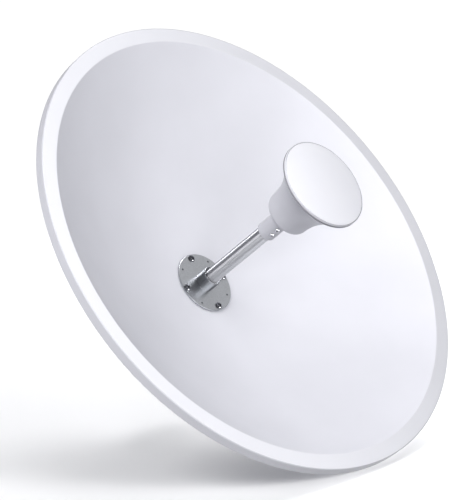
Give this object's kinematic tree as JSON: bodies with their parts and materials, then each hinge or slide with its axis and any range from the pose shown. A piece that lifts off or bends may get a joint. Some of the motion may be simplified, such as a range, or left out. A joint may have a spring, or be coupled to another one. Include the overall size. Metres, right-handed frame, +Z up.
{
  "type": "microwave dish antenna",
  "caption": "White parabolic dish with a flared horn feed on a central tube, bolted to a tilting bracket that clamps to a round mast.",
  "frame": {"origin": "On the flat rear face of the mast channel's web, on the dish axis, where the mast bears.", "axes": "The dish faces -Y, +Y points at the mast, +Z is up along the mast."},
  "size_m": [0.648, 0.3766, 0.648],
  "materials": {
    "white_paint": "satin white powder coat on spun sheet",
    "feed_metal": "fine turned",
    "tube_metal": "brushed along its length",
    "white_plastic": "moulded, satin",
    "lid_plastic": "moulded, soft gloss",
    "bright_screws": "bright plated",
    "zinc_plate": "zinc plated",
    "zinc_bolts": "bright zinc",
    "outlet_plastic": "moulded, matt",
    "connector_metal": "nickel plated"
  },
  "bodies": {
    "root": {"reflector": "white_paint", "feed_flange": "feed_metal", "feed_tube": "tube_metal", "tube_collar": "white_plastic", "feed_horn": "white_plastic", "horn_lid": "lid_plastic", "flange_bolt_1": "bright_screws", "flange_bolt_2": "bright_screws", "flange_bolt_3": "bright_screws", "flange_bolt_4": "bright_screws", "flange_nut_1": "bright_screws", "flange_nut_2": "bright_screws", "flange_nut_3": "bright_screws", "flange_nut_4": "bright_screws", "collar_screw_1": "bright_screws", "collar_screw_2": "bright_screws", "collar_screw_3": "bright_screws", "collar_screw_4": "bright_screws", "backing_plate": "zinc_plate", "tilt_bracket": "zinc_plate", "mast_channel": "zinc_plate", "upper_jaw": "zinc_plate", "lower_jaw": "zinc_plate", "clamp_bolt_1": "zinc_bolts", "clamp_bolt_2": "zinc_bolts", "clamp_bolt_3": "zinc_bolts", "clamp_bolt_4": "zinc_bolts", "clamp_nut_1": "zinc_bolts", "clamp_nut_2": "zinc_bolts", "clamp_nut_3": "zinc_bolts", "clamp_nut_4": "zinc_bolts", "pivot_bolt_left": "zinc_bolts", "pivot_bolt_right": "zinc_bolts", "pivot_nut_left": "zinc_bolts", "pivot_nut_right": "zinc_bolts", "lock_bolt_left": "zinc_bolts", "lock_bolt_right": "zinc_bolts", "lock_nut_left": "zinc_bolts", "lock_nut_right": "zinc_bolts", "outlet_housing": "outlet_plastic", "connector_left": "connector_metal", "connector_right": "connector_metal"}
  },
  "joints": []
}
